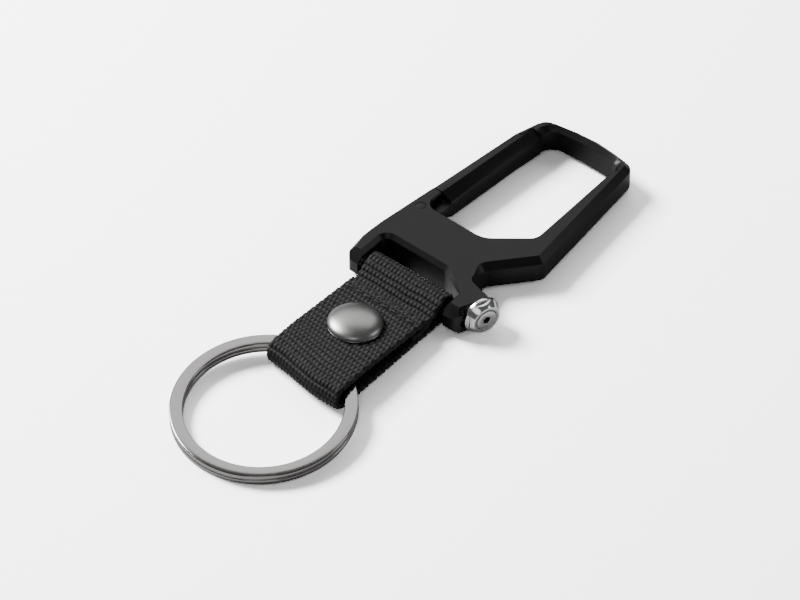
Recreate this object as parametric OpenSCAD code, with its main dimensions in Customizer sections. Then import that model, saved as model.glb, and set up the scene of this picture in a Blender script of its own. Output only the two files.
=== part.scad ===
// Carabiner keyring: a cast metal snap hook, a webbing strap with a press snap, and a split ring.
// Lying flat: +Y runs from the ring to the hook's top, +X to the side of the lock screw, +Z up.
// The origin is on the underside of the hook's bridge, on the strap's centre line.

/* [Hook body] */
// Thickness of the cast body
body_t = 6.8; // [6.4:0.1:7.4]
// Bevel along the body's outer edge
edge_bevel = 1.3; // [0.9:0.1:1.4]
// Larger bevel on the ends of the two ears
ear_bevel = 2.0; // [1.6:0.1:2.2]
// Y of the ends of the two ears
ear_end_y = -14.3; // [-14.6:0.1:-14.1]

/* [Gate] */
// Gap between the closed gate and the body
gate_gap = 0.25; // [0.15:0.05:0.35]
// Diameter of the gate's pivot pin
pivot_d = 2.0; // [1.8:0.1:2.2]
// Thickness of the gate's tongue between the body's two cheeks
tongue_t = 2.6; // [2.2:0.1:2.8]

/* [Strap] */
// Width of the webbing
strap_w = 18.8; // [18:0.2:19.6]
// Thickness of the webbing
strap_t = 1.3; // [1.1:0.05:1.35]
// Diameter of the bar that the strap hangs on
bar_d = 2.8; // [2.4:0.1:2.8]
// Y of the bar's centre
bar_y = -11.7; // [-11.8:0.1:-11.6]
// Y of the fold that holds the ring, at the middle of its turn
fold_y = -41.5; // [-42:0.5:-41]

/* [Press snap] */
// Diameter of the domed cap
cap_d = 10.8; // [10:0.2:12]
// Height of the cap's dome above the flap
cap_h = 2.2; // [1.8:0.1:2.6]
// Y of the snap's centre
snap_y = -27.5; // [-28.5:0.5:-27]

/* [Split ring] */
// Outer diameter of the ring
ring_d = 35.6; // [34.6:0.2:36]
// Radial width of the ring's wire
wire_w = 2.6; // [2.2:0.1:2.8]
// Height of one turn of the wire
wire_h = 1.12; // [1.0:0.02:1.14]
// Tilt of the ring, whose far side is lifted by the fold
ring_tilt = 3.4; // [3.2:0.1:3.6]

/* [Lock screw] */
// Turn of the screw's axis from +X towards -Y, in plan
lock_turn = 17; // [12:1:20]
// Diameter of the steel collar
collar_d = 7.8; // [7:0.2:8]
// Width across the flats of the screw's hex socket
socket_af = 1.5; // [1.3:0.1:2]

/* [Hidden] */

$fn = 64;
mid_z = body_t / 2;
eps = 0.01;
fit_gap = 0.05;             // radial play of a part that turns on a pin
arc_step = 15;              // degrees between the points of a rounded corner
black = "#1b1b1d";
webbing_black = "#141415";
steel = "#c8c8ca";
gunmetal = "#6f6c6c";

// ---- outlines: each point is [x, y, corner radius, bevel] ----

// The body's outer wall, anticlockwise from the inner foot of the left ear.
slot_y = -5.8;
slot_bevel = 0.85;
fine_edge = 0.3;
body_outline = [
    [-10.6, ear_end_y, 0, slot_bevel],
    [-10.6, slot_y, 1.6, slot_bevel],
    [4.4, slot_y, 2.0, slot_bevel],
    [10.6, -9.4, 0, fine_edge],
    [10.6, ear_end_y, 0, 0.4],
    [13.9, ear_end_y, 2.4, 1.2],
    [15.8, -6.5, 0, fine_edge],
    [9.9, -4.8, 1.6, fine_edge],
    [9.9, -0.6, 1.8, edge_bevel],
    [17.2, 8.0, 1.8, edge_bevel],
    [14.1, 40.2, 2.6, edge_bevel],
    [4.1, 41.9, 30, edge_bevel],
    [-8.4, 40.0, 3.6, edge_bevel],
    [-9.3, 32.7, 0, 0.5],
    [-13.7, -5.0, 30, fine_edge],
    [-13.75, -9.0, 0, fine_edge],
    [-13.5, ear_end_y, 1.6, 0.9]];

// The hook's opening with the gate closed, anticlockwise.
far_bevel = 1.0;
opening_outline = [
    [-9.7, 5.4, 2.2, fine_edge],
    [4.4, 5.4, 5, fine_edge],
    [12.4, 12.0, 3, fine_edge],
    [12.0, 35.0, 0, fine_edge],
    [11.7, 38.5, 2.2, far_bevel],
    [4.0, 39.2, 30, far_bevel],
    [-5.6, 38.4, 3.2, far_bevel],
    [-7.4, 10.2, 0, fine_edge],
    [-9.7, 10.2, 0, fine_edge]];

// The pivot, and the line of the gate's outer and inner faces.
pivot = [-10.4, 4.5];
gate_foot_y = 10.1;
gate_tip_y = 35.2;
nose_step_y = 32.5;
gate_outline = [
    [-11.88, gate_foot_y],
    [-7.35, gate_foot_y],
    [-6.15, 28.5],
    [-5.2, gate_tip_y],
    [-7.5, gate_tip_y],
    [-7.9, nose_step_y],
    [-9.35, nose_step_y]];

// The strap's side view: the bar's loop, the run below and the tail sewn onto it.
loop_r = bar_d / 2 + fit_gap + strap_t / 2;
run_z = 0.85;                                   // height of the lower run's middle at the fold
fold_top_z = 5.0;
fold_mid_z = (run_z + fold_top_z) / 2;
fold_r = (fold_top_z - run_z) / 2;
tail_end_y = -21.5;
flap_end_y = -17.2;
flap_end_z = 4.15;
flap_peak = [-35.0, 5.15];                      // where the flap clears the ring
flap_slope = atan2(flap_peak[1] - flap_end_z, flap_end_y - flap_peak[0]);
run_slope = atan2(run_height(bar_y) - run_z, bar_y - fold_y);

function run_height(y) = run_z + (mid_z - loop_r - run_z) * (y - fold_y) / (bar_y - fold_y);
function flap_height(y) = flap_end_z + (flap_end_y - y) * tan(flap_slope);
function arc_pts(c, r, a0, a1, n) =
    [for (i = [0:n]) c + r * [cos(a0 + (a1 - a0) * i / n), sin(a0 + (a1 - a0) * i / n)]];

// ---- helpers ----

function unit(v) = v / norm(v);
function left_of(v) = [-v[1], v[0]];

// Points [x, y, bevel] of an outline, with each corner replaced by an arc of its own radius.
function rounded(pts) = [
    for (i = [0:len(pts) - 1])
    let (n = len(pts),
         p = [pts[i][0], pts[i][1]],
         a = [pts[(i + n - 1) % n][0], pts[(i + n - 1) % n][1]],
         b = [pts[(i + 1) % n][0], pts[(i + 1) % n][1]],
         u = unit(p - a), v = unit(b - p), r = pts[i][2],
         ang = acos(max(-1, min(1, u * v))),
         side = u[0] * v[1] - u[1] * v[0] > 0 ? 1 : -1,
         d = r * tan(ang / 2),
         c = p - d * u + side * r * left_of(u),
         steps = r == 0 ? 0 : max(1, ceil(ang / arc_step)))
    for (k = [0:steps])
        let (w = side * ang * k / max(1, steps), q = p - d * u - c)
        [c[0] + q[0] * cos(w) - q[1] * sin(w), c[1] + q[0] * sin(w) + q[1] * cos(w), pts[i][3]]];

// One level of a bevelled solid: the outline moved inwards by k times each point's own bevel,
// and up from z by rise times that bevel.
function level(pts, k, z, rise = 0) = [
    for (i = [0:len(pts) - 1])
    let (n = len(pts),
         a = pts[(i + n - 1) % n], p = pts[i], b = pts[(i + 1) % n],
         u = unit([p[0] - a[0], p[1] - a[1]]),
         v = unit([b[0] - p[0], b[1] - p[1]]),
         m = unit(left_of(u) + left_of(v)),
         d = k * p[2] / max(0.3, m * left_of(u)))
    [p[0] + m[0] * d, p[1] + m[1] * d, z + rise * p[2]]];

function turn_of(a, b, c) = (b[0] - a[0]) * (c[1] - a[1]) - (b[1] - a[1]) * (c[0] - a[0]);
function covers(a, b, c, p) = turn_of(a, b, p) >= 0 && turn_of(b, c, p) >= 0 && turn_of(c, a, p) >= 0;

// Whether the outline's corner k can be cut off: it turns left and no other point is in it.
function is_ear(pts, ids, k) =
    let (n = len(ids), i = ids[(k + n - 1) % n], j = ids[k], l = ids[(k + 1) % n])
    turn_of(pts[i], pts[j], pts[l]) > 1e-9 &&
    len([for (m = ids) if (m != i && m != j && m != l && covers(pts[i], pts[j], pts[l], pts[m])) m]) == 0;
function first_ear(pts, ids, k = 0) =
    k == len(ids) - 1 || is_ear(pts, ids, k) ? k : first_ear(pts, ids, k + 1);

// Triangles that fill an anticlockwise outline, found by cutting off one corner at a time.
function filled(pts, ids) = len(ids) == 3 ? [ids] :
    let (n = len(ids), k = first_ear(pts, ids))
    concat([[ids[(k + n - 1) % n], ids[k], ids[(k + 1) % n]]],
           filled(pts, [for (i = [0:n - 1]) if (i != k) ids[i]]));

// A solid that joins levels with the same number of points, lowest first.
module layered(levels) {
    n = len(levels[0]);
    rows = len(levels);
    bottom = filled(levels[0], [for (i = [0:n - 1]) i]);
    top = [for (f = bottom) [for (i = [2:-1:0]) f[i] + (rows - 1) * n]];
    sides = [for (r = [0:rows - 2]) for (i = [0:n - 1])
        let (j = (i + 1) % n, low = r * n, high = low + n)
        each [[low + i, high + i, high + j], [low + i, high + j, low + j]]];
    polyhedron(points = [for (l = levels) for (p = l) p],
               faces = concat(bottom, top, sides), convexity = 8);
}

// A plate of thickness t on z = 0 with a 45 degree bevel round its top and bottom edges.
module bevelled_plate(pts, t) {
    layered([level(pts, 1, 0), level(pts, 0, 0, 1), level(pts, 0, t, -1), level(pts, 1, t)]);
}

// The cutter for an opening with the same bevel round it.
module bevelled_opening(pts, t) {
    over = 0.3;
    layered([level(pts, -1 - over, 0, -over), level(pts, 0, 0, 1),
             level(pts, 0, t, -1), level(pts, -1 - over, t, over)]);
}

// A flat band of thickness t that follows a path in side view, w wide, centred on x = 0.
module band(path, t, w) {
    n = len(path);
    nrm = [for (i = [0:n - 1])
        let (a = path[max(0, i - 1)], p = path[i], b = path[min(n - 1, i + 1)],
             u = i == 0 ? unit(b - p) : unit(p - a),
             v = i == n - 1 ? unit(p - a) : unit(b - p),
             m = unit(left_of(u) + left_of(v)))
        m / max(0.4, m * left_of(u))];
    outline = concat([for (i = [0:n - 1]) path[i] + nrm[i] * t / 2],
                     [for (i = [n - 1:-1:0]) path[i] - nrm[i] * t / 2]);
    translate([-w / 2, 0, 0])
        rotate([90, 0, 90])
            linear_extrude(w)
                polygon(outline);
}

// ---- hook ----

bar_left_x = -12.6;
bar_right_x = 13.2;
lock_face = [14.95, -8.6];      // where the lock screw's axis meets the boss
lock_r = 1.2;                   // radius of the screw's shank
lock_depth = 5;

// Puts children on the lock screw's axis, with local +Z out of the boss.
module on_lock_axis(out = 0) {
    translate([lock_face[0], lock_face[1], collar_d / 2 + 0.02])
        rotate([0, 90, -lock_turn])
            translate([0, 0, out])
                children();
}

// The space that the gate's arm and its tongue take out of the body's left arm.
module gate_space() {
    outer_line = [[-16, gate_foot_y - gate_gap], [-7.2, gate_foot_y - gate_gap], [-3.8, 12]];
    nose_line = [[-3.8, gate_tip_y + gate_gap], [-7.7, gate_tip_y + gate_gap],
                 [-8.1, nose_step_y + gate_gap], [-16, nose_step_y + gate_gap]];
    translate([0, 0, -1])
        linear_extrude(body_t + 2)
            polygon(concat(outer_line, nose_line));
}

module hinge_slot() {
    slot_t = tongue_t + 0.2;
    translate([0, 0, mid_z - slot_t / 2]) {
        translate([pivot[0], pivot[1], 0])
            cylinder(h = slot_t, r = 2.6);
        translate([-16, pivot[1], 0])
            cube([16 - 6.4, gate_foot_y - pivot[1], slot_t]);
        translate([-16, pivot[1] - 2.6, 0])
            cube([16 + pivot[0], 2.7, slot_t]);
    }
}

// The larger bevel on the end of both ears, top and bottom.
module ear_bevels() {
    for (up = [0, 1])
        translate([-20, ear_end_y, up * body_t])
            mirror([0, 0, up])
                translate([0, 0, ear_bevel])
                    rotate([-45, 0, 0])
                        translate([0, -1.5, -5])
                            cube([40, 6, 5]);
}

module carabiner_body() {
    color(black)
    difference() {
        bevelled_plate(rounded(body_outline), body_t);
        bevelled_opening(rounded(opening_outline), body_t);
        gate_space();
        hinge_slot();
        ear_bevels();
        translate([pivot[0], pivot[1], -1])
            cylinder(h = body_t + 2, r = pivot_d / 2);
        translate([bar_left_x, bar_y, mid_z])
            rotate([0, 90, 0])
                cylinder(h = 30, r = bar_d / 2);
        on_lock_axis(-lock_depth)
            cylinder(h = lock_depth + 3, r = lock_r);
        on_lock_axis()
            cylinder(h = 5, r = collar_d / 2 + 0.3);
    }
}

module gate_tongue() {
    translate([0, 0, mid_z - tongue_t / 2]) {
        translate([pivot[0], pivot[1], 0])
            cylinder(h = tongue_t, r = 2.2);
        linear_extrude(tongue_t)
            polygon([[pivot[0] - 2.15, pivot[1]], [pivot[0] + 2.15, pivot[1]],
                     [-7.4, gate_foot_y - 2.2], [-7.3, gate_foot_y + 1],
                     [-11.6, gate_foot_y + 1]]);
    }
}

spring_r = 1.5;                 // mean radius of the torsion spring's coil
spring_wire = 0.36;
module gate() {
    color(black)
    difference() {
        union() {
            linear_extrude(body_t)
                polygon(gate_outline);
            gate_tongue();
        }
        gate_bevel([-7.35, gate_foot_y], [-5.2, gate_tip_y], 2.3, 1.4);
        gate_bevel([-9.35, nose_step_y], [-11.88, gate_foot_y], 0.45, 0.45);
        translate([pivot[0], pivot[1], -1])
            cylinder(h = body_t + 2, r = pivot_d / 2 + fit_gap);
        translate([pivot[0], pivot[1], mid_z - tongue_t / 2 - eps])
            cylinder(h = 1.35, r = spring_r + spring_wire / 2 + 0.1);
        // the sector that the spring's fixed leg sweeps in the tongue
        translate([pivot[0] - 0.6, pivot[1] - 3, mid_z - tongue_t / 2 - eps])
            cube([2.9, 3, 0.6]);
    }
}

// A bevel along the gate's edge from a to b, top and bottom: run wide on the flat face and
// drop deep on the wall. The gate lies to the left of the line.
module gate_bevel(a, b, run, drop) {
    reach = 2;
    for (up = [0, 1])
        translate([a[0], a[1], up * body_t])
            mirror([0, 0, up])
                rotate([90, 0, atan2(b[1] - a[1], b[0] - a[0]) + 90])
                    translate([0, 0, -reach])
                        linear_extrude(norm(b - a) + 2 * reach)
                            polygon([[run, 0], [run, -1], [-reach, -1], [-reach, drop], [0, drop]]);
}

module gate_pivot_pin() {
    color(black)
    translate([pivot[0], pivot[1], 0])
        cylinder(h = body_t, r = pivot_d / 2);
}

// Torsion spring round the pin: three close turns and a straight leg at each end.
module gate_spring() {
    z0 = mid_z - tongue_t / 2 + spring_wire / 2;
    color(steel)
    translate([pivot[0], pivot[1], z0]) {
        for (i = [0:2])
            translate([0, 0, i * (spring_wire + 0.03)])
                rotate_extrude()
                    translate([spring_r, 0])
                        circle(d = spring_wire, $fn = 24);
        translate([0, -spring_r, 0])
            rotate([90, 0, 0])
                cylinder(h = 0.9, d = spring_wire * 0.8, $fn = 24);
    }
}

module strap_bar() {
    color(steel)
    translate([bar_left_x, bar_y, mid_z])
        rotate([0, 90, 0])
            cylinder(h = bar_right_x - bar_left_x, r = bar_d / 2);
}

// ---- lock screw ----

washer_t = 0.5;
collar_t = 2.1;
collar_rim = 0.6;
collar_front_d = 5.9;
head_d = 4.2;

module lock_washer() {
    color("#0c0c0d")
    on_lock_axis()
        difference() {
            cylinder(h = washer_t, d = collar_d - 0.8);
            translate([0, 0, -1])
                cylinder(h = 3, r = lock_r + 0.1);
        }
}

// Steel collar: a thin rim, a cone with four ground flats, and a recess for the screw's head.
module lock_collar() {
    color(steel)
    on_lock_axis(washer_t)
        difference() {
            union() {
                cylinder(h = collar_rim, d = collar_d);
                translate([0, 0, collar_rim])
                    cylinder(h = collar_t - collar_rim, d1 = collar_d, d2 = collar_front_d);
            }
            for (a = [0:90:270])
                rotate([0, 0, a])
                    translate([collar_d / 2 - 0.55, -5, collar_rim + 0.1])
                        cube([4, 10, 5]);
            translate([0, 0, -1])
                cylinder(h = 5, r = lock_r + fit_gap);
            translate([0, 0, collar_t - 1.3])
                cylinder(h = 5, d = head_d + 0.3);
        }
}

module lock_screw() {
    head_t = 1.35;
    color(steel)
    on_lock_axis(washer_t + collar_t - head_t + 0.1)
        difference() {
            union() {
                cylinder(h = head_t, d = head_d);
                translate([0, 0, -lock_depth - 0.2])
                    cylinder(h = lock_depth + 0.3, r = lock_r - fit_gap);
            }
            translate([0, 0, head_t - 1.0])
                cylinder(h = 2, d = socket_af / cos(30), $fn = 6);
        }
}

// ---- strap ----

// From the tail's end, up over the bar, back under it and along to the fold, and round it.
tail_gap = 0.1;
function tail_height(y) = run_height(y) + strap_t + tail_gap;
strap_path = concat(
    [[tail_end_y, tail_height(tail_end_y)], [-17.6, tail_height(-17.6)],
     [-16.6, tail_height(-16.6) + 0.18]],
    arc_pts([bar_y, mid_z], loop_r, 118, -90, 16),
    [[fold_y, run_z]],
    arc_pts([fold_y, fold_mid_z], fold_r, 270, 90, 10));

fold_seam = 0.14;               // gap in plan between the fold's last point and the flap's first
flap_path = [[fold_y + fold_seam, fold_top_z], [flap_peak[0] - 2, 5.1], flap_peak,
             [flap_end_y, flap_end_z]];

rivet_r = 1.5;

module strap_webbing() {
    color(webbing_black)
    difference() {
        band(strap_path, strap_t, strap_w);
        on_run(snap_y)
            translate([0, 0, -2])
                cylinder(h = 4, r = rivet_r);
        strap_stitching();
    }
}

module strap_flap() {
    color(webbing_black)
    difference() {
        band(flap_path, strap_t, strap_w);
        on_flap(snap_y)
            translate([0, 0, -3])
                cylinder(h = 6, r = rivet_r);
        flap_hem_stitching();
    }
}

// Puts children on the middle of the lower run at y, square to the run.
module on_run(y) {
    translate([0, y, run_height(y)])
        rotate([run_slope, 0, 0])
            children();
}

// Puts children on the middle of the flap's top face at y, square to the flap.
module on_flap(y) {
    translate([0, y, flap_height(y)])
        rotate([-flap_slope, 0, 0])
            translate([0, 0, strap_t / 2])
                children();
}

// Rows of stitches as rounded bars that go through the layers they hold.
stitch_w = 0.45;
stitch_len = 1.7;
stitch_pitch = 2.3;
module stitch_row(y, z, depth) {
    count = floor((strap_w - 2.4) / stitch_pitch);
    for (i = [0:count])
        translate([(i - count / 2) * stitch_pitch - stitch_len / 2, y - stitch_w / 2, z])
            cube([stitch_len, stitch_w, depth]);
}

module strap_stitching() {
    color("#0d0d0e")
    for (y = [-18.9, -20.6])
        stitch_row(y, run_height(y) - strap_t / 2 - 0.1, 2 * strap_t + tail_gap + 0.2);
}

module flap_hem_stitching() {
    color("#0d0d0e")
    for (y = [flap_end_y - 1.0, flap_end_y - 2.4])
        on_flap(y)
            translate([0, 0, -strap_t])
                stitch_row(0, -0.05, strap_t + 0.12);
}

// ---- press snap ----

module snap_cap() {
    dome_r = (pow(cap_d / 2, 2) + pow(cap_h - 0.4, 2)) / (2 * (cap_h - 0.4));
    color(gunmetal)
    on_flap(snap_y) {
        intersection() {
            translate([0, 0, cap_h - dome_r])
                sphere(r = dome_r, $fn = 96);
            translate([0, 0, 0.4 - eps])
                cylinder(h = cap_h, d = cap_d);
        }
        cylinder(h = 0.4, d = cap_d);
        translate([0, 0, -strap_t - 0.5])
            cylinder(h = strap_t + 0.5 + eps, r = rivet_r);
    }
}

socket_d = 8.6;
socket_h = 1.3;
socket_bore = 4.9;
module snap_socket() {
    color(steel)
    on_flap(snap_y)
        translate([0, 0, -strap_t - socket_h])
            difference() {
                cylinder(h = socket_h, d = socket_d);
                translate([0, 0, -1])
                    cylinder(h = 1 + socket_h - 0.3, d = socket_bore);
                translate([0, 0, -1])
                    cylinder(h = 4, r = rivet_r);
            }
}

module snap_socket_spring() {
    color(steel)
    on_flap(snap_y)
        translate([0, 0, -strap_t - 0.7])
            rotate_extrude()
                translate([socket_bore / 2 - 0.17, 0])
                    circle(r = 0.15, $fn = 24);
}

module snap_stud() {
    color(steel)
    on_run(snap_y)
        translate([0, 0, strap_t / 2])
            difference() {
                union() {
                    cylinder(h = 0.35, d = 8);
                    cylinder(h = 1.25, d = 3.3);
                    translate([0, 0, 0.85])
                        rotate_extrude()
                            translate([1.5, 0])
                                circle(r = 0.35, $fn = 24);
                }
                translate([0, 0, -1])
                    cylinder(h = 1.8, r = rivet_r);
            }
}

module snap_back_rivet() {
    flange_t = 0.32;
    color(steel)
    on_run(snap_y)
        translate([0, 0, -strap_t / 2]) {
            translate([0, 0, -flange_t])
                cylinder(h = flange_t, d = 7.6);
            cylinder(h = strap_t + 0.7, r = rivet_r);
        }
}

// ---- split ring ----

ring_c = [-0.8, -52.9];
turn_gap = 0.06;
ring_h = 2 * wire_h + turn_gap;
ring_mid_z = ring_d / 2 * sin(ring_tilt) + ring_h / 2 * cos(ring_tilt) + 0.02;

// Two turns of flat wire. The wire climbs from the lower to the upper turn over a short
// stretch that lies inside the strap's fold.
module split_ring() {
    steps = 144;
    climb = 24;                                 // half the angle of the climb
    corner = 0.22;
    r0 = ring_d / 2 - wire_w;
    r1 = ring_d / 2;
    level = (wire_h + turn_gap) / 2;
    a0 = climb + 4;
    a1 = 720 - climb - 4;
    section = [[r0 + corner, -wire_h / 2], [r1 - corner, -wire_h / 2], [r1, -wire_h / 2 + corner],
               [r1, wire_h / 2 - corner], [r1 - corner, wire_h / 2], [r0 + corner, wire_h / 2],
               [r0, wire_h / 2 - corner], [r0, -wire_h / 2 + corner]];
    n = len(section);
    function rise(a) = let (t = max(-1, min(1, (a - 360) / climb))) level * sin(90 * t);
    pts = [for (i = [0:steps])
        let (a = a0 + (a1 - a0) * i / steps)
        for (s = section) [s[0] * cos(a + 90), s[0] * sin(a + 90), s[1] + rise(a)]];
    sides = [for (i = [0:steps - 1]) for (k = [0:n - 1])
        [i * n + k, i * n + (k + 1) % n, (i + 1) * n + (k + 1) % n, (i + 1) * n + k]];
    color(gunmetal)
    translate([ring_c[0], ring_c[1], ring_mid_z])
        rotate([ring_tilt, 0, 0])
            polyhedron(points = pts, convexity = 6, faces = concat(
                [[for (k = [n - 1:-1:0]) k]], [[for (k = [0:n - 1]) steps * n + k]], sides));
}

carabiner_body();
gate();
gate_pivot_pin();
gate_spring();
strap_bar();
lock_washer();
lock_collar();
lock_screw();
strap_webbing();
strap_flap();
strap_stitching();
flap_hem_stitching();
snap_cap();
snap_socket();
snap_socket_spring();
snap_stud();
snap_back_rivet();
split_ring();
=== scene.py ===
import bpy
import bmesh
from math import sin, cos, tan, pi, radians, atan2, floor, hypot, sqrt
from mathutils import Vector, Matrix, noise


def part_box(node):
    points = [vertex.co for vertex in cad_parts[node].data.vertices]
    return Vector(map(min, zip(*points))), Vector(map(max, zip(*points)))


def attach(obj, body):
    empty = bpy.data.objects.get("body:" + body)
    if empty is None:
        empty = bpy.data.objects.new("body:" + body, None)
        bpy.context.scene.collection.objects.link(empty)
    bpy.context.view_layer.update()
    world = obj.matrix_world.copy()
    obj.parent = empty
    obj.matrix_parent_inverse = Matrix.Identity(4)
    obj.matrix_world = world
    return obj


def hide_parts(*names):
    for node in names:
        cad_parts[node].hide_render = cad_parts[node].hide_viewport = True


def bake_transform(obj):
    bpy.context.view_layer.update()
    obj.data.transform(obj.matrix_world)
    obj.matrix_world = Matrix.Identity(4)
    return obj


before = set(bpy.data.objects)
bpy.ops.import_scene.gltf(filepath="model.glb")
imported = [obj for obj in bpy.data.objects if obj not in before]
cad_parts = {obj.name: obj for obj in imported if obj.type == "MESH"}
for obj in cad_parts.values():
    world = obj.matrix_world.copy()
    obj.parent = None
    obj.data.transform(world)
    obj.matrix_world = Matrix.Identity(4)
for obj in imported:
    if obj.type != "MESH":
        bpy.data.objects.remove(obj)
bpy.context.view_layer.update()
MM = 0.001


# ---------------------------------------------------------------- camera, floor and light
# The keyring lies on a pale table top under one soft lamp high on the left, with three weaker
# ones far, right and near. The top is painted to look paler to the lens than it lights the
# parts. A long lens looks down at 45 degrees from the strap's side.
def stand_camera(target, azimuth, elevation, distance, lens):
    camera = bpy.data.cameras.new("camera")
    camera.lens = lens
    camera.sensor_width = 36
    camera.clip_start = 0.01
    camera.clip_end = 20
    stand = bpy.data.objects.new("camera", camera)
    bpy.context.collection.objects.link(stand)
    round_by = radians(azimuth)
    up_by = radians(elevation)
    back = Vector((sin(round_by) * cos(up_by), -cos(round_by) * cos(up_by), sin(up_by)))
    stand.location = Vector(target) + back * distance
    stand.rotation_euler = (pi / 2 - up_by, 0, round_by)
    bpy.context.scene.camera = stand


def soft_lamp(name, place, size, power, aim=(0, 0, 0)):
    lamp = bpy.data.lights.new(name, "AREA")
    lamp.shape = "RECTANGLE"
    lamp.size, lamp.size_y = size
    lamp.energy = power
    stand = bpy.data.objects.new(name, lamp)
    bpy.context.collection.objects.link(stand)
    stand.location = place
    stand.rotation_euler = (Vector(aim) - Vector(place)).to_track_quat("-Z", "Y").to_euler()


def add_piece(name, verts, faces, material, smooth=True):
    mesh = bpy.data.meshes.new(name)
    mesh.from_pydata(verts, [], faces)
    mesh.validate()
    mesh.update()
    if smooth:
        mesh.polygons.foreach_set("use_smooth", [True] * len(mesh.polygons))
    mesh.materials.append(material)
    piece = bpy.data.objects.new(name, mesh)
    bpy.context.collection.objects.link(piece)
    return piece


def link(tree, source, output, target, socket):
    tree.links.new(source.outputs[output], target.inputs[socket])


def add_node(tree, kind, **settings):
    node = tree.nodes.new(kind)
    for key, value in settings.items():
        if key in node.inputs:
            node.inputs[key].default_value = value
        else:
            setattr(node, key, value)
    return node


stand_camera(target=(3.2 * MM, -18 * MM, 6.8 * MM), azimuth=40, elevation=45,
             distance=0.9506, lens=225)

floor_half = 1.5
seen_tone = 3.6
unseen_tone = 0.6
room_light = 0.09
table_paint = bpy.data.materials.new("table_top")
table_paint.use_nodes = True
tree = table_paint.node_tree
tree.nodes.clear()
sheet_out = add_node(tree, "ShaderNodeOutputMaterial")
seen = add_node(tree, "ShaderNodeBsdfDiffuse")
seen.inputs["Color"].default_value = (seen_tone, seen_tone, seen_tone, 1)
unseen = add_node(tree, "ShaderNodeBsdfDiffuse")
unseen.inputs["Color"].default_value = (unseen_tone, unseen_tone, unseen_tone, 1)
rays = add_node(tree, "ShaderNodeLightPath")
either = add_node(tree, "ShaderNodeMixShader")
link(tree, rays, "Is Camera Ray", either, 0)
link(tree, unseen, "BSDF", either, 1)
link(tree, seen, "BSDF", either, 2)
link(tree, either, "Shader", sheet_out, "Surface")
table_top = add_piece("table_top", [(-floor_half, -floor_half, 0), (floor_half, -floor_half, 0),
                                    (floor_half, floor_half, 0), (-floor_half, floor_half, 0)],
                      [(0, 1, 2, 3)], table_paint, smooth=False)

room = bpy.data.worlds.new("room")
bpy.context.scene.world = room
room.use_nodes = True
room.node_tree.nodes["Background"].inputs["Color"].default_value = (1, 1, 1, 1)
room.node_tree.nodes["Background"].inputs["Strength"].default_value = room_light
soft_lamp("key_lamp", place=(-0.58, -0.10, 0.52), size=(0.30, 0.30), power=11.0, aim=(0, -0.01, 0))
soft_lamp("far_card", place=(-0.32, 0.46, 0.56), size=(0.75, 0.45), power=1.5)
soft_lamp("right_card", place=(0.62, 0.44, 0.42), size=(0.3, 0.3), power=0.6)
soft_lamp("near_card", place=(0.30, -0.52, 0.60), size=(0.35, 0.35), power=0.5)


# ---------------------------------------------------------------- hook body
# The body is one zinc casting with a bevel round it, coated in satin black. The coat is fine
# grained, and its corners are broken by tumbling.
def new_material(name, color, roughness, metallic=0.0):
    material = bpy.data.materials.new(name)
    material.use_nodes = True
    shader = material.node_tree.nodes["Principled BSDF"]
    shader.inputs["Base Color"].default_value = (*color, 1)
    shader.inputs["Roughness"].default_value = roughness
    shader.inputs["Metallic"].default_value = metallic
    return material, material.node_tree, shader


def grain(tree, scale, detail=2.0, rough=0.5):
    """Noise in the piece's own metres."""
    place = add_node(tree, "ShaderNodeTexCoord")
    speckle = add_node(tree, "ShaderNodeTexNoise", Scale=scale, Detail=detail, Roughness=rough)
    link(tree, place, "Object", speckle, "Vector")
    return speckle


def spread(tree, source, output, low, high):
    """Maps a 0 to 1 value onto low to high."""
    node = add_node(tree, "ShaderNodeMapRange")
    node.inputs["To Min"].default_value = low
    node.inputs["To Max"].default_value = high
    link(tree, source, output, node, "Value")
    return node


def bump(tree, shader, source, output, strength, distance, before=None):
    node = add_node(tree, "ShaderNodeBump", Strength=strength, Distance=distance)
    link(tree, source, output, node, "Height")
    if before:
        link(tree, before, "Normal", node, "Normal")
    link(tree, node, "Normal", shader, "Normal")
    return node


def satin_black(name, tone, roughness):
    material, tree, shader = new_material(name, (tone, tone, tone * 1.03), roughness)
    shader.inputs["Specular IOR Level"].default_value = 0.3
    fine = grain(tree, 9000, 3)
    broad = grain(tree, 260, 3)
    shade = spread(tree, broad, "Fac", roughness - 0.05, roughness + 0.05)
    link(tree, shade, "Result", shader, "Roughness")
    bump(tree, shader, fine, "Fac", 0.22, 0.00003)
    return material


def broken_edges(name, node, edge, material, sharp=22, segments=3):
    """A copy of a machined or cast part with every sharp edge rounded by edge metres."""
    source = bpy.data.meshes.new_from_object(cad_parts[node])
    source.transform(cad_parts[node].matrix_world)
    work = bmesh.new()
    work.from_mesh(source)
    bmesh.ops.remove_doubles(work, verts=work.verts, dist=2e-6)
    bmesh.ops.dissolve_limit(work, angle_limit=radians(0.6), verts=work.verts,
                             edges=work.edges, use_dissolve_boundaries=False)
    crisp = [e for e in work.edges
             if len(e.link_faces) == 2 and e.calc_face_angle(0) > radians(sharp)]
    bmesh.ops.bevel(work, geom=crisp, offset=edge, offset_type="OFFSET", segments=segments,
                    profile=0.5, affect="EDGES", clamp_overlap=True)
    bmesh.ops.remove_doubles(work, verts=work.verts, dist=1e-6)
    bmesh.ops.recalc_face_normals(work, faces=work.faces)
    mesh = bpy.data.meshes.new(name)
    work.to_mesh(mesh)
    work.free()
    bpy.data.meshes.remove(source)
    mesh.materials.clear()
    mesh.materials.append(material)
    mesh.polygons.foreach_set("use_smooth", [True] * len(mesh.polygons))
    mesh.set_sharp_from_angle(angle=radians(32))
    piece = bpy.data.objects.new(name, mesh)
    bpy.context.collection.objects.link(piece)
    return piece


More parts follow.
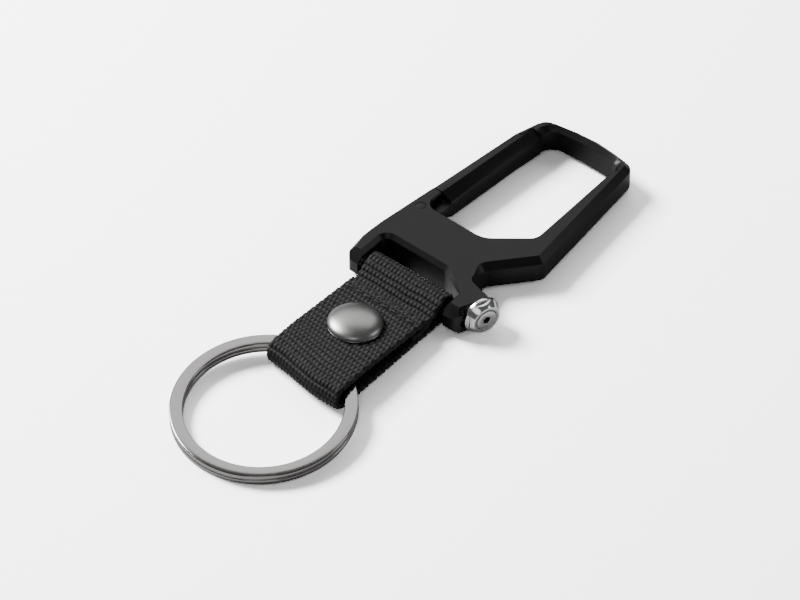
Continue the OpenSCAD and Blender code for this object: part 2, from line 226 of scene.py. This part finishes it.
cast_edge = 0.10 * MM
body_coat = satin_black("body_coat", 0.0035, 0.36)
hook_body = broken_edges("hook_body", "carabiner_body", cast_edge, body_coat)
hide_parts("carabiner_body")
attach(hook_body, "hook")


# ---------------------------------------------------------------- gate and its pin
# The gate is a second casting in the same black, turning on a steel pin whose ends are
# ground flush and coated with the body. A torsion spring round the pin closes it.
gate_coat = satin_black("gate_coat", 0.004, 0.34)
gate_arm = broken_edges("gate_arm", "gate", cast_edge, gate_coat)
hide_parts("gate")
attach(gate_arm, "gate")

pin_head = satin_black("pin_head", 0.006, 0.42)
pivot_low, pivot_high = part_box("gate_pivot_pin")


def lathe(name, profile, place, axis, material, around=64):
    """A turned part: profile is [(radius, height)] along axis from place, both in metres."""
    turn = Vector(axis).to_track_quat("Z", "Y").to_matrix()
    verts, faces = [], []
    for radius, height in profile:
        for k in range(around):
            angle = 2 * pi * k / around
            spot = turn @ Vector((radius * cos(angle), radius * sin(angle), height))
            verts.append(Vector(place) + spot)
    rows = len(profile)
    for r in range(rows - 1):
        for k in range(around):
            j = (k + 1) % around
            faces.append((r * around + k, r * around + j, (r + 1) * around + j, (r + 1) * around + k))
    faces.append(tuple(range(around - 1, -1, -1)))
    faces.append(tuple((rows - 1) * around + k for k in range(around)))
    piece = add_piece(name, verts, faces, material)
    piece.data.set_sharp_from_angle(angle=radians(40))
    return piece


pin_r = (pivot_high[0] - pivot_low[0]) / 2
pin_mid = ((pivot_low[0] + pivot_high[0]) / 2, (pivot_low[1] + pivot_high[1]) / 2, pivot_low[2])
pin_tall = pivot_high[2] - pivot_low[2]
pin_end = [(pin_r - 0.22 * MM, 0.02 * MM), (pin_r - 0.1 * MM, 0.05 * MM), (pin_r, 0.2 * MM)]
pin_profile = pin_end + [(radius, pin_tall - height) for radius, height in reversed(pin_end)]
pivot_pin = lathe("pivot_pin", pin_profile, pin_mid, (0, 0, 1), pin_head)
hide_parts("gate_pivot_pin")
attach(pivot_pin, "hook")


def drawn_steel(name, color, roughness, scratch=0.05):
    material, tree, shader = new_material(name, color, roughness, 1.0)
    marks = grain(tree, 1800, 4)
    shade = spread(tree, marks, "Fac", roughness - scratch, roughness + scratch)
    link(tree, shade, "Result", shader, "Roughness")
    bump(tree, shader, marks, "Fac", 0.08, 0.00002)
    return material


spring_wire = drawn_steel("spring_wire", (0.46, 0.46, 0.47), 0.3)
gate_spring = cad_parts["gate_spring"]
gate_spring.data.materials.clear()
gate_spring.data.materials.append(spring_wire)


# ---------------------------------------------------------------- strap bar
# A ground steel bar crosses between the ears and carries the strap's loop. It is a push fit
# in the left ear, and the lock collar covers its other end.
bar_steel = drawn_steel("bar_steel", (0.5, 0.5, 0.51), 0.22)
bar_low, bar_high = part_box("strap_bar")
bar_r = (bar_high[2] - bar_low[2]) / 2
bar_mid = Vector((bar_low[0], (bar_low[1] + bar_high[1]) / 2, (bar_low[2] + bar_high[2]) / 2))
bar_long = bar_high[0] - bar_low[0]
bar_edge = 0.25 * MM
strap_bar = lathe("ground_bar", [(bar_r - bar_edge, 0), (bar_r, bar_edge),
                                 (bar_r, bar_long - bar_edge), (bar_r - bar_edge, bar_long)],
                  bar_mid, (1, 0, 0), bar_steel)
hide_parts("strap_bar")
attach(strap_bar, "hook")


# ---------------------------------------------------------------- lock screw, collar, washer
# A polished steel collar with four ground flats sits on a black rubber washer. The screw's
# flat head, with its hex socket, lies in the collar's recess; shade in the socket is painted dark.
def turned_steel(name, color, roughness):
    material, tree, shader = new_material(name, color, roughness, 1.0)
    rings = grain(tree, 5200, 2)
    shade = spread(tree, rings, "Fac", roughness - 0.04, roughness + 0.06)
    link(tree, shade, "Result", shader, "Roughness")
    bump(tree, shader, rings, "Fac", 0.05, 0.00002)
    return material


bright_steel = turned_steel("bright_steel", (0.86, 0.87, 0.88), 0.14)
screw_steel = turned_steel("screw_steel", (0.88, 0.88, 0.89), 0.24)
collar = broken_edges("steel_collar", "lock_collar", 0.05 * MM, bright_steel, sharp=18)
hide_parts("lock_collar")
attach(collar, "collar")
screw = broken_edges("hex_screw", "lock_screw", 0.04 * MM, screw_steel, sharp=25)
# Painted shade: this near-black matte material darkens the screw's hex socket where shade falls in
# the recess.
socket_shade_paint, tree, shader = new_material("socket_shade_paint", (0.004, 0.004, 0.004), 0.7)
bump(tree, shader, grain(tree, 5000), "Fac", 0.2, 0.00003)


def paint_socket_shade(piece, axis, face_at, inner, sunk=0.12 * MM):
    """Paints shade into a recess: makes dark what lies deeper than sunk under a front face and within
    inner of its axis.
    """
    piece.data.materials.append(socket_shade_paint)
    for face in piece.data.polygons:
        off = face.center - face_at
        depth = off.dot(axis)
        if depth < -sunk and (off - axis * depth).length < inner:
            face.material_index = 1


lock_turn = radians(17)
lock_axis = Vector((cos(lock_turn), -sin(lock_turn), 0))
screw_far = max((v.co.dot(lock_axis) for v in screw.data.vertices))
collar_low, collar_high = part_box("lock_collar")
screw_mid = (collar_low + collar_high) / 2
screw_mid += lock_axis * (screw_far - screw_mid.dot(lock_axis))
# Paints shade into the hex socket: faces over 0.12 mm deep and within 1 mm of the axis get the dark
# material.
paint_socket_shade(screw, lock_axis, screw_mid, inner=1.0 * MM)
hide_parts("lock_screw")
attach(screw, "screw")

rubber, tree, shader = new_material("washer_rubber", (0.008, 0.008, 0.008), 0.6)
bump(tree, shader, grain(tree, 6000), "Fac", 0.15, 0.00003)
washer = broken_edges("rubber_washer", "lock_washer", 0.12 * MM, rubber)
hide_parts("lock_washer")
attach(washer, "hook")


# ---------------------------------------------------------------- webbing
# Three quarter inch nylon webbing, woven in close cross ribs with the warp threads showing
# as rows of small floats. One length makes the bar loop, the run below and the ring fold.
rib_pitch = 1.22 * MM
end_width = 0.44 * MM
selvedge = 0.3 * MM
rib_sink = 0.1 * MM
web_t = 1.3 * MM
web_low, web_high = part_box("strap_webbing")
web_half = (web_high[0] - web_low[0]) / 2

nylon, tree, shader = new_material("nylon_webbing", (0.004, 0.004, 0.0045), 0.7)
shader.inputs["Sheen Weight"].default_value = 0.05
shader.inputs["Specular IOR Level"].default_value = 0.3
yarn = grain(tree, 5200, 3)
lint = grain(tree, 900, 4)
tone = add_node(tree, "ShaderNodeValToRGB")
tone.color_ramp.elements[0].color = (0.0015, 0.0015, 0.0018, 1)
tone.color_ramp.elements[1].color = (0.010, 0.010, 0.011, 1)
tone.color_ramp.elements[0].position = 0.35
tone.color_ramp.elements[1].position = 0.72
link(tree, lint, "Fac", tone, "Fac")
link(tree, tone, "Color", shader, "Base Color")
shade = spread(tree, yarn, "Fac", 0.48, 0.78)
link(tree, shade, "Result", shader, "Roughness")
bump(tree, shader, yarn, "Fac", 0.5, 0.00005)


def smooth_path(points, step):
    """Even steps along a polyline of (y, z), with its corners eased."""
    lengths = [0]
    for a, b in zip(points, points[1:]):
        lengths.append(lengths[-1] + hypot(b[0] - a[0], b[1] - a[1]))
    count = max(2, round(lengths[-1] / step))
    path, i = [], 0
    for k in range(count + 1):
        s = lengths[-1] * k / count
        while i < len(points) - 2 and lengths[i + 1] < s:
            i += 1
        f = (s - lengths[i]) / (lengths[i + 1] - lengths[i])
        a, b = points[i], points[i + 1]
        path.append([a[0] + (b[0] - a[0]) * f, a[1] + (b[1] - a[1]) * f])
    for _ in range(6):
        path = [path[0]] + [[(path[k - 1][c] + 2 * path[k][c] + path[k + 1][c]) / 4
                             for c in (0, 1)] for k in range(1, count)] + [path[-1]]
    return path


def arc(mid, radius, start, stop, count=14):
    return [(mid[0] + radius * cos(radians(start + (stop - start) * k / count)),
             mid[1] + radius * sin(radians(start + (stop - start) * k / count)))
            for k in range(count + 1)]


def swell(t):
    """Half a round section over t from 0 to 1."""
    return sqrt(max(0.0, 1 - (2 * t - 1) ** 2))


def weave(s, x, side):
    """Height of a plain weave: stout weft ribs across, with warp ends over and under them."""
    along = s / rib_pitch + 0.14 * noise.noise(Vector((x * 260, s * 420, 5 * side)))
    over = (x + web_half) / end_width + 0.25 * noise.noise(Vector((x * 350, s * 500, 9 * side)))
    row, end = floor(along), floor(over)
    rib = swell(along - row)
    slack = noise.noise(Vector((end * 1.7, row * 2.3, 3 * side)))
    top = 0.16 + 0.06 * slack if (row + end) % 2 else 0.03
    return (0.34 * rib - 0.25 + top * swell(over - end) * rib) * MM


skew = 1.6 * MM
skew_from = (5 * MM, -31 * MM)
skew_over = (14 * MM, 9 * MM)


def pulled(x, y):
    """The ring pulls the fold askew: its left side lies nearer the hook than its right."""
    across = min(1, max(0, (skew_from[0] - x) / skew_over[0]))
    near = min(1, max(0, (skew_from[1] - y) / skew_over[1]))
    return y + skew * across ** 2 * (3 - 2 * across) * near ** 2 * (3 - 2 * near)


def webbing(name, points, half, thick):
    """A woven band along a path of (y, z), half wide to each side of x = 0."""
    step = 0.145 * MM
    path = smooth_path(points, step)
    across = round(2 * half / end_width * 5)
    verts, faces = [], []
    count = len(path)
    s = 0.0
    for k in range(count):
        a, b = path[max(0, k - 1)], path[min(count - 1, k + 1)]
        along = Vector((0, b[0] - a[0], b[1] - a[1])).normalized()
        up = Vector((0, -along.z, along.y))
        if k:
            s += hypot(path[k][0] - path[k - 1][0], path[k][1] - path[k - 1][1])
        end = min(k, count - 1 - k) * step
        thin = min(1.0, 0.7 + 0.3 * end / (0.5 * MM))
        for side in (1, -1):
            for j in range(across + 1):
                f = (2 * j / across - 1) * side
                turn = abs(sin(pi * (s / rib_pitch + (1 if f > 0 else 0)) / 2))
                x = (half - selvedge + selvedge * turn ** 0.6) * f
                ease = min(1.0, max(0.0, (half - abs(x)) / (0.6 * MM)))
                h = thick / 2 * thin * (0.45 + 0.55 * sqrt(1 - (1 - ease) ** 2)) - rib_sink
                h += weave(s, x, side) * min(1, ease + 0.45)
                spot = Vector((x, path[k][0], path[k][1])) + up * h * side
                spot.y = pulled(x, spot.y)
                verts.append(spot)
    ring = 2 * (across + 1)
    for k in range(count - 1):
        for j in range(ring):
            n = (j + 1) % ring
            faces.append((k * ring + j, (k + 1) * ring + j, (k + 1) * ring + n, k * ring + n))
    for row in (0, (count - 1) * ring):
        for j in range(across):
            m = ring - 1 - j
            quad = (row + j, row + j + 1, row + m - 1, row + m)
            faces.append(quad if row == 0 else quad[::-1])
    return add_piece(name, verts, faces, nylon)


bar_y = bar_mid.y
bar_z = bar_mid.z
loop_play = 0.12 * MM
loop_stand = 0.45 * MM
loop_r = bar_r + loop_play + web_t / 2
fold_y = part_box("strap_flap")[0][1]
run_z = web_low[2] + web_t / 2 + 0.06 * MM
fold_top_z = 5.12 * MM
fold_mid_z = (run_z + fold_top_z) / 2
fold_r = (fold_top_z - run_z) / 2
flap_end = (-17.2 * MM, 4.15 * MM)
flap_peak = (-35.0 * MM, 5.24 * MM)
flap_slope = atan2(flap_peak[1] - flap_end[1], flap_end[0] - flap_peak[0])


def standing_arc(start, stop, count=20):
    """The webbing's turn round the bar, which stands higher than it is deep."""
    turn = [radians(start + (stop - start) * k / count) for k in range(count + 1)]
    return [(bar_y + loop_r * cos(t), bar_z + (loop_r + loop_stand * max(0, sin(t))) * sin(t))
            for t in turn]


def run_height(y):
    return run_z + (bar_z - loop_r - run_z) * (y - fold_y) / (bar_y - fold_y)


def tail_height(y):
    return run_height(y) + web_t + 0.1 * MM


tail_tip = -21.5 * MM
tail_bend = -18.4 * MM
tail_rise = -16.6 * MM
run_mid = -26 * MM
loop_points = ([(tail_tip, tail_height(tail_tip)), (tail_bend, tail_height(tail_bend)),
                (tail_rise, tail_height(tail_rise) + 0.55 * MM)]
               + standing_arc(112, -90)
               + [(run_mid, run_height(run_mid)), (fold_y + 0.05 * MM, run_height(fold_y))])
lower_webbing = webbing("lower_webbing", loop_points, web_half, web_t)
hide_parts("strap_webbing")
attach(lower_webbing, "strap")

flap_points = (arc((fold_y, fold_mid_z), fold_r, 270, 90, 16)
               + [(-38 * MM, 5.22 * MM), flap_peak, flap_end])
upper_webbing = webbing("upper_webbing", flap_points, web_half, web_t)
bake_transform(upper_webbing)
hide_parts("strap_flap")


# ---------------------------------------------------------------- stitching
# Black bonded thread in straight lock stitch: two rows close the bar loop, and two rows
# hold the flap's folded end.
thread, tree, shader = new_material("sewing_thread", (0.005, 0.005, 0.0055), 0.6)
bump(tree, shader, grain(tree, 7000), "Fac", 0.3, 0.00003)


def stitches(name, rows, height, slope, depth, thick=0.34 * MM, pitch=2.1 * MM):
    """Rows of thread across the strap: each stitch is a short bowed tube on the top face."""
    verts, faces = [], []
    around, along = 8, 8
    bare_edges = 2.2 * MM
    half_long = 0.42 * pitch
    count = int((2 * web_half - bare_edges) / pitch)
    tilt = Matrix.Rotation(-slope, 3, "X")
    for y in rows:
        for i in range(count + 1):
            middle = Vector(((i - count / 2) * pitch, y, height(y)))
            base = len(verts)
            for k in range(along + 1):
                t = 2 * k / along - 1
                sink = depth * abs(t) ** 5
                for a in range(around):
                    angle = 2 * pi * a / around
                    spot = Vector((t * half_long, thick / 2 * cos(angle),
                                   thick / 2 * sin(angle) - sink))
                    verts.append(middle + tilt @ spot)
            for k in range(along):
                for a in range(around):
                    b = (a + 1) % around
                    faces.append((base + k * around + a, base + (k + 1) * around + a,
                                  base + (k + 1) * around + b, base + k * around + b))
            faces.append(tuple(base + a for a in range(around)))
            faces.append(tuple(base + along * around + a for a in range(around - 1, -1, -1)))
    return add_piece(name, verts, faces, thread)


def flap_top(y):
    return flap_end[1] + (flap_end[0] - y) * tan(flap_slope) + web_t / 2


loop_rows = [-18.9 * MM, -20.6 * MM]
hem_rows = [-18.3 * MM, -19.8 * MM]
loop_stitches = stitches("loop_stitches", loop_rows,
                         lambda y: tail_height(y) + web_t / 2 + 0.02 * MM, 0, 0.3 * MM)
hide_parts("strap_stitching")
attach(loop_stitches, "strap")
hem_stitches = stitches("hem_stitches", hem_rows,
                        lambda y: flap_top(y) + 0.06 * MM, flap_slope, 0.35 * MM)
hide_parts("flap_hem_stitching")
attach(hem_stitches, "flap")


# ---------------------------------------------------------------- press snap
# A domed cap with a rolled rim is riveted through the flap into its socket. The stud below
# is riveted through the lower run. All are steel pressings in gunmetal plate.
def plated(name, color, roughness):
    material, tree, shader = new_material(name, color, roughness, 1.0)
    cloud = grain(tree, 420, 3)
    shade = spread(tree, cloud, "Fac", roughness - 0.04, roughness + 0.05)
    link(tree, shade, "Result", shader, "Roughness")
    bump(tree, shader, grain(tree, 8000), "Fac", 0.05, 0.00002)
    return material


cap_plate = plated("cap_plate", (0.36, 0.355, 0.35), 0.34)
cap_low, cap_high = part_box("snap_cap")
cap_r = (cap_high[0] - cap_low[0]) / 2
snap_y = (cap_low[1] + cap_high[1]) / 2
cap_axis = (0, sin(flap_slope), cos(flap_slope))
cap_seat = (0, snap_y, flap_top(snap_y))
dome_h = 1.85 * MM
rim_h = 0.42 * MM
shank_r = 1.2 * MM
dome = [(cap_r * cos(radians(t)), rim_h + dome_h * sin(radians(t)))
        for t in (0, 8, 16, 24, 32, 40, 48, 56, 64, 71, 78, 84, 88)]
cap_profile = [(shank_r, -web_t - 0.4 * MM), (shank_r, -0.05 * MM),
               (cap_r - 0.5 * MM, -0.02 * MM),
               (cap_r - 0.28 * MM, 0.02 * MM),
               (cap_r - 0.12 * MM, 0.12 * MM),
               (cap_r - 0.06 * MM, 0.2 * MM), (cap_r - 0.14 * MM, 0.27 * MM),
               (cap_r - 0.10 * MM, 0.33 * MM)] + dome
snap_cap = lathe("domed_cap", cap_profile, cap_seat, cap_axis, cap_plate, around=96)
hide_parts("snap_cap")
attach(snap_cap, "flap")

snap_plate = plated("snap_plate", (0.5, 0.5, 0.5), 0.25)
for node, name, body in (("snap_socket", "pressed_socket", "flap"),
                         ("snap_stud", "pressed_stud", "strap"),
                         ("snap_back_rivet", "back_rivet", "strap")):
    pressing = broken_edges(name, node, 0.08 * MM, snap_plate)
    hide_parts(node)
    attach(pressing, body)
socket_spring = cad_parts["snap_socket_spring"]
socket_spring.data.materials.clear()
socket_spring.data.materials.append(spring_wire)


# ---------------------------------------------------------------- split ring
# Two close turns of flat steel wire, hardened, polished and plated in gunmetal. The wire
# steps from the lower turn to the upper inside the strap's fold, and its ends are cut square.
ring_plate, tree, shader = new_material("ring_plate", (0.40, 0.39, 0.385), 0.2, 1.0)
polish = grain(tree, 900, 4)
shade = spread(tree, polish, "Fac", 0.10, 0.17)
link(tree, shade, "Result", shader, "Roughness")
bump(tree, shader, grain(tree, 6000), "Fac", 0.04, 0.00002)

ring_low, ring_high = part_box("split_ring")
ring_r = (ring_high[0] - ring_low[0]) / 2
ring_tilt = radians(3.4)
ring_mid = Vector(((ring_low[0] + ring_high[0]) / 2, (ring_low[1] + ring_high[1]) / 2,
                   (ring_low[2] + ring_high[2]) / 2))
wire_w = 2.6 * MM
wire_h = 1.12 * MM
wire_corner = 0.24 * MM
turn_gap = 0.06 * MM


def wire_section(radius, width, height, corner, per_corner=4):
    """A flat wire's rounded section as (radius, height) points."""
    outer, inner = radius, radius - width
    middles = ((outer - corner, height / 2 - corner, 0), (inner + corner, height / 2 - corner, 90),
               (inner + corner, corner - height / 2, 180), (outer - corner, corner - height / 2, 270))
    return [(r + corner * cos(radians(a + 90 * k / per_corner)),
             z + corner * sin(radians(a + 90 * k / per_corner)))
            for r, z, a in middles for k in range(per_corner + 1)]


def split_ring():
    climb = 24
    first = climb + 4
    last = 720 - first
    steps = 520
    section = wire_section(ring_r, wire_w, wire_h, wire_corner)
    level = (wire_h + turn_gap) / 2
    tip = Matrix.Rotation(ring_tilt, 3, "X")
    verts, faces = [], []
    for i in range(steps + 1):
        a = first + (last - first) * i / steps
        rise = level * sin(radians(90 * max(-1, min(1, (a - 360) / climb))))
        way = radians(a + 90)
        for r, z in section:
            verts.append(ring_mid + tip @ Vector((r * cos(way), r * sin(way), z + rise)))
    n = len(section)
    for i in range(steps):
        for k in range(n):
            j = (k + 1) % n
            faces.append((i * n + k, (i + 1) * n + k, (i + 1) * n + j, i * n + j))
    faces.append(tuple(range(n)))
    faces.append(tuple(steps * n + k for k in range(n - 1, -1, -1)))
    return add_piece("flat_wire_ring", verts, faces, ring_plate)


ring = split_ring()
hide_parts("split_ring")
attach(ring, "ring")
